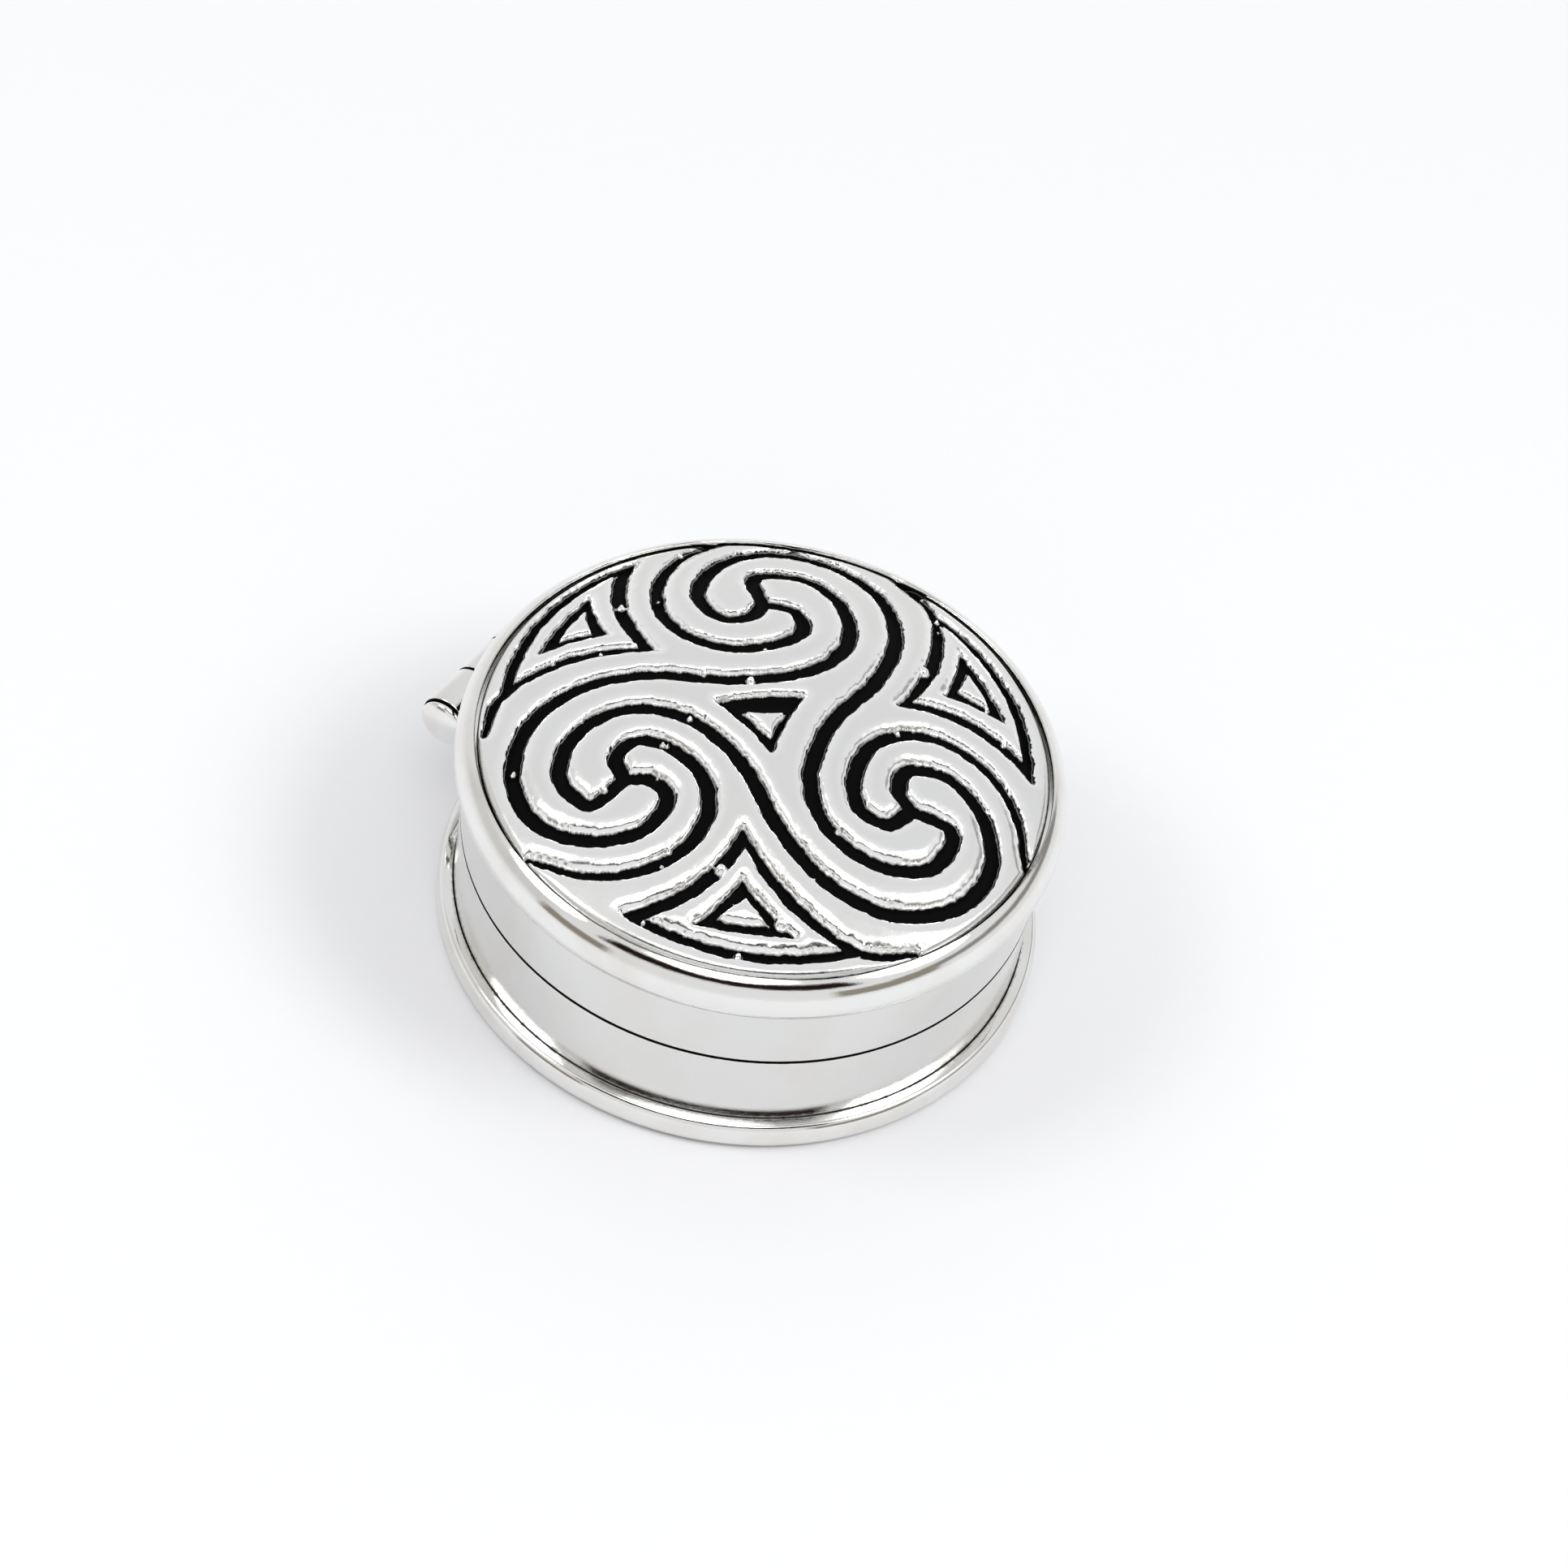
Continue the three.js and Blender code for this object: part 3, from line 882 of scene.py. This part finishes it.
class PILLBOX_OT_plaque(Operator):
    """Sinks the linked spirals into a domed round plaque."""

    bl_idname = "pillbox.plaque"
    bl_label = "Ornament plaque"

    def execute(self, context):
        ornament = context.scene.pillbox_ornament
        rim = reach("ornament_plaque")
        half = ornament.groove_width / rim / 2
        bm, spots = plaque_spots(ornament.grid, half)
        clear = pattern_distance(spots, half) * rim
        for vertex, (x, y), height in zip(bm.verts, spots, plaque_relief(spots, clear)):
            vertex.co = (x * rim, y * rim, height)
        close_plaque(bm)

        piece = finish_piece(
            bm, "spiral_plaque", "ornament_plaque", antiqued_silver(),
            sharp=math.radians(80))
        piece.data.attributes.new("painted_edge_highlight", "FLOAT", "POINT")
        # Painted highlight: the band tops lighten towards their edges, where they would catch the
        # light.
        painted_edge_highlight = 0.8 * np.clip(1 - (clear - ornament.shoulder) / ornament.crown_width, 0, 1)
        # The first attribute carries the grooves' oxide and the painted shade round the edge. The
        # second carries the painted highlight on the band edges.
        for name, relief in (("patina_and_shade", plaque_oxide_and_shade(spots, clear)), ("painted_edge_highlight", painted_edge_highlight)):
            values = np.zeros(len(piece.data.vertices))
            values[:len(relief)] = relief
            piece.data.attributes[name].data.foreach_set("value", values)
        return {"FINISHED"}


# ---- Hinge ------------------------------------------------------------------------


def barrel_section(start, end):
    """Half section of a knuckle, with its rims softened, as (distance, along) points."""
    sizes = bpy.context.scene.pillbox_sizes
    hole = sizes.pin_radius + sizes.pin_clearance
    return softened(
        [(hole, start), (sizes.barrel_radius, start), (sizes.barrel_radius, end), (hole, end)],
        sizes.edge_radius)


def fillet(start, corner, end, steps=7):
    """Points from start to end, drawn in towards a corner."""
    a, b, c = Vector(start), Vector(corner), Vector(end)
    shares = [i / steps for i in range(steps + 1)]
    return [a.lerp(b, t).lerp(b.lerp(c, t), t) for t in shares]


def add_foot(bm, start, end, outline):
    """Adds a solder foot of (y, z) corners between two places along X, hollowed to the wall.

    The outline's first and last corners lie on the wall, and the others in the barrel.
    """
    clear = reach("lid_wall") + 0.03 * MM
    steps = 14
    made = [bm.verts.new((start, y, z)) for y, z in outline]
    bm.faces.new(made)
    edges = [bm.edges.get(pair) for pair in zip(made, made[1:] + made[:1])]
    for _ in range(steps):
        grown = bmesh.ops.extrude_edge_only(bm, edges=edges)["geom"]
        fresh = [item for item in grown if isinstance(item, bmesh.types.BMVert)]
        edges = [item for item in grown if isinstance(item, bmesh.types.BMEdge)]
        bmesh.ops.translate(bm, verts=fresh, vec=((end - start) / steps, 0, 0))
        made += fresh
    bmesh.ops.holes_fill(bm, edges=edges)
    for vertex in made:
        if vertex.co.y <= clear:
            vertex.co.y = math.sqrt(clear ** 2 - vertex.co.x ** 2)


def make_knuckle(node, name, outline):
    """A knuckle's barrel with its foot, darkened with painted shade where it meets the next
    barrel.
    """
    sizes = bpy.context.scene.pillbox_sizes
    low, high = CORNERS[node]
    start, end = low[0], high[0]
    bm = spin_section(barrel_section(start, end), 64, axis="X", centre=(0, HINGE.y, HINGE.z))
    inset = 0.06 * MM
    add_foot(bm, start + inset, end - inset, outline)
    bmesh.ops.recalc_face_normals(bm, faces=bm.faces)
    middle = (start + end) / 2
    painted_shade_width = 0.07 * MM
    painted_shade_reach = sizes.barrel_radius - 0.02 * MM

    # Painted shade: the end faces and rims of each knuckle darken where it meets the next barrel.
    def patina_and_shade(spot):
        side = math.hypot(spot.y - HINGE.y, spot.z - HINGE.z)
        rim = near(abs(spot.x - middle), (end - start) / 2, painted_shade_width)
        return 0.9 * rim if side < painted_shade_reach else 0

    finish_piece(bm, name, node, polished_silver(), patina_and_shade)


class PILLBOX_OT_knuckles(Operator):
    """Turns the three hinge knuckles and adds the foot of each."""

    bl_idname = "pillbox.knuckles"
    bl_label = "Hinge knuckles"

    def execute(self, context):
        radius = context.scene.pillbox_sizes.barrel_radius
        wall = reach("lid_wall")
        seam_low = highest("body_wall") - 0.02 * MM
        seam_high = lowest("lid_wall") + 0.02 * MM
        foot_low = lowest("body_knuckle_left")
        foot_high = highest("lid_knuckle")
        under = (HINGE.y - 0.35 * radius, HINGE.z - 0.9 * radius)
        over = (HINGE.y - 0.45 * radius, HINGE.z + 0.86 * radius)
        inside = HINGE.y - 0.62 * radius
        hollow = wall + 0.18 * (HINGE.y - wall)
        droop = 0.1 * MM
        below = [
            *fillet((wall, foot_low), (hollow, under[1] - droop), under),
            (inside, HINGE.z - 0.3 * radius),
            (wall, seam_low),
        ]
        above = [
            (wall, seam_high),
            (inside, seam_high),
            *fillet(over, (hollow, over[1] + droop), (wall, foot_high)),
        ]
        make_knuckle("body_knuckle_left", "hinge_knuckle_left", below)
        make_knuckle("body_knuckle_right", "hinge_knuckle_right", below)
        make_knuckle("lid_knuckle", "hinge_knuckle_middle", above)
        return {"FINISHED"}


class PILLBOX_OT_pin(Operator):
    """Turns the hinge pin, with a domed riveted head at each end."""

    bl_idname = "pillbox.pin"
    bl_label = "Hinge pin"

    def execute(self, context):
        sizes = context.scene.pillbox_sizes
        low, high = CORNERS["hinge_pin"]
        head_radius = (high[2] - low[2]) / 2
        end = high[0]
        start = CORNERS["body_knuckle_right"][1].x + 0.08 * MM
        brim = start + 0.12 * MM
        half = [
            (sizes.pin_radius, start),
            (head_radius * 0.93, start),
            (head_radius * 0.985, start + 0.05 * MM),
            (head_radius, brim),
        ]
        steps = 10
        for i in range(1, steps):
            angle = math.pi / 2 * i / steps
            half.append((head_radius * math.cos(angle), brim + (end - brim) * math.sin(angle)))
        half.append((0, end))
        section = [(distance, -along) for distance, along in reversed(half)] + half
        bm = spin_section(section, 64, axis="X", centre=(0, HINGE.y, HINGE.z), closed=False)
        finish_piece(bm, "riveted_pin", "hinge_pin", polished_silver())
        return {"FINISHED"}


# ---- Stage ------------------------------------------------------------------------


def aim(thing, place, target, roll=0):
    """Puts a thing at a place, facing a target, turned about its view by roll."""
    back = (place - target).normalized()
    right = Vector((0, 0, 1)).cross(back).normalized()
    up = back.cross(right)
    turn = Matrix((right, up, back)).transposed() @ Matrix.Rotation(roll, 3, "Z")
    thing.matrix_world = Matrix.Translation(place) @ turn.to_4x4()


def direction(bearing, elevation):
    """A unit vector that points round from +X by the bearing, and up by the elevation."""
    return Vector((
        math.cos(elevation) * math.cos(bearing),
        math.cos(elevation) * math.sin(bearing),
        math.sin(elevation)))


def soft_light(name, power, size, bearing, elevation, distance):
    """A round white light that faces the middle of the box's foot."""
    light = bpy.data.lights.new(name, "AREA")
    light.shape = "DISK"
    light.size = size
    light.energy = power
    thing = bpy.data.objects.new(name, light)
    bpy.context.scene.collection.objects.link(thing)
    aim(thing, direction(bearing, elevation) * distance, Vector())


# Parts of the room, in degrees: turn right of the camera and half width, height and half
# depth, softness of the edge, and colour.
ROOM = (
    ("far_wall", (180, 50), (48, 14), 22, (0.99, 1.0, 1.015)),
    ("left_shade", (-88, 22), (24, 8), 10, (0.84, 0.83, 0.82)),
    ("right_window", (88, 24), (54, 6), 5, (2.4, 2.4, 2.4)),
    ("right_shelf", (100, 40), (20, 4), 4, (0.35, 0.34, 0.33)),
    ("warm_patch_left", (-50, 11), (13, 8), 4, (0.36, 0.32, 0.27)),
    ("warm_patch_right", (54, 15), (15, 8), 4, (0.38, 0.34, 0.28)),
    ("onlooker", (2, 46), (47, 7.5), 4, (0.022, 0.012, 0.010)),
)


def surroundings(settings):
    """A pale room with a window, and the dark shape of whoever leans over the box."""
    world = bpy.data.worlds.new("pale_room")
    world.use_nodes = True
    tree = world.node_tree
    background = tree.nodes["Background"]
    facing = tree.nodes.new("ShaderNodeTexCoord").outputs["Generated"]

    def along(vector):
        dot = tree.nodes.new("ShaderNodeVectorMath")
        dot.operation = "DOT_PRODUCT"
        tree.links.new(facing, dot.inputs[0])
        dot.inputs[1].default_value = vector
        return dot.outputs["Value"]

    rise = along((0, 0, 1))
    ahead = along(direction(settings.bearing, 0))
    aside = along(direction(settings.bearing + math.pi / 2, 0))
    height = calculated(tree, "ARCSINE", rise, 0)
    turn = calculated(tree, "ARCTAN2", aside, ahead)

    up = ranged(tree, rise, (0.0, 0.15), (0, 1))
    seen = mixed(tree, up, (1.12, 1.12, 1.125), (1.03, 1.03, 1.04))
    for _, across, upward, soft, colour in ROOM:
        share = None
        for value, (middle, half) in ((turn, across), (height, upward)):
            offset = calculated(tree, "SUBTRACT", value, math.radians(middle))
            wrapped = calculated(tree, "PINGPONG", offset, math.pi)
            away = calculated(tree, "ABSOLUTE", wrapped, 0)
            edge = ranged(tree, away, (math.radians(half), math.radians(half + soft)), (1, 0))
            share = edge if share is None else calculated(tree, "MULTIPLY", share, edge)
        seen = mixed(tree, share, seen, colour)
    tree.links.new(seen, background.inputs["Color"])
    background.inputs["Strength"].default_value = settings.ambient
    bpy.context.scene.world = world


class PILLBOX_OT_stage(Operator):
    """Lays the pale floor and sets the camera and the soft studio light."""

    bl_idname = "pillbox.stage"
    bl_label = "Stage"

    def execute(self, context):
        settings = context.scene.pillbox_stage
        bm = bmesh.new()
        bmesh.ops.create_circle(bm, cap_ends=True, segments=96, radius=320 * MM)
        bmesh.ops.translate(bm, verts=bm.verts, vec=(0, 0, -0.02 * MM))
        mesh = bpy.data.meshes.new("floor")
        bm.to_mesh(mesh)
        bm.free()
        ground = bpy.data.objects.new("floor", mesh)
        context.scene.collection.objects.link(ground)
        mesh.materials.append(floor_material())

        surroundings(settings)
        soft_light(
            "overhead", settings.overhead, size=340 * MM, bearing=settings.bearing,
            elevation=math.radians(69), distance=600 * MM)
        sides = (("right_window", settings.right, 80), ("left_window", settings.left, -80))
        for name, power, offset in sides:
            soft_light(
                name, power, size=200 * MM, bearing=settings.bearing + math.radians(offset),
                elevation=math.radians(50), distance=500 * MM)

        camera = bpy.data.objects.new("camera", bpy.data.cameras.new("camera"))
        context.scene.collection.objects.link(camera)
        camera.data.sensor_width = 36
        camera.data.lens = settings.lens
        camera.data.clip_start = 0.005
        toward = direction(settings.bearing, settings.elevation)
        middle = Vector((0, 0, settings.aim_height))
        # The first aim only gives the picture's own right and up.
        aim(camera, toward * settings.distance, Vector(), settings.roll)
        right = camera.matrix_world.col[0].to_3d()
        up = camera.matrix_world.col[1].to_3d()
        target = middle + right * settings.aim_right + up * settings.aim_up
        aim(camera, target + toward * settings.distance, target, settings.roll)
        context.scene.camera = camera
        context.scene.view_settings.view_transform = "Standard"
        return {"FINISHED"}


# ---- Add-on -----------------------------------------------------------------------

STEPS = (
    PILLBOX_OT_base, PILLBOX_OT_walls, PILLBOX_OT_sleeve, PILLBOX_OT_rim_bead,
    PILLBOX_OT_lid_plate, PILLBOX_OT_plaque, PILLBOX_OT_knuckles, PILLBOX_OT_pin,
    PILLBOX_OT_stage,
)
SETTINGS = {
    "pillbox_sizes": PILLBOX_PG_sizes,
    "pillbox_ornament": PILLBOX_PG_ornament,
    "pillbox_finish": PILLBOX_PG_finish,
    "pillbox_stage": PILLBOX_PG_stage,
}


class PILLBOX_PT_panel(Panel):
    """Lists the pieces of the pill box and the settings that shape them."""

    bl_idname = "PILLBOX_PT_panel"
    bl_label = "Pill box"
    bl_space_type = "VIEW_3D"
    bl_region_type = "UI"
    bl_category = "Pill box"

    def draw(self, context):
        for step in STEPS:
            self.layout.operator(step.bl_idname)
        for name, group in SETTINGS.items():
            box = self.layout.box()
            for setting in group.__annotations__:
                box.prop(getattr(context.scene, name), setting)


def register():
    for group in SETTINGS.values():
        bpy.utils.register_class(group)
    for name, group in SETTINGS.items():
        setattr(bpy.types.Scene, name, PointerProperty(type=group))
    for step in STEPS:
        bpy.utils.register_class(step)
    bpy.utils.register_class(PILLBOX_PT_panel)


def unregister():
    bpy.utils.unregister_class(PILLBOX_PT_panel)
    for step in reversed(STEPS):
        bpy.utils.unregister_class(step)
    for name in SETTINGS:
        delattr(bpy.types.Scene, name)
    for group in SETTINGS.values():
        bpy.utils.unregister_class(group)


def main():
    register()
    for step in STEPS:
        family, action = step.bl_idname.split(".")
        getattr(getattr(bpy.ops, family), action)()


if __name__ == "__main__":
    main()
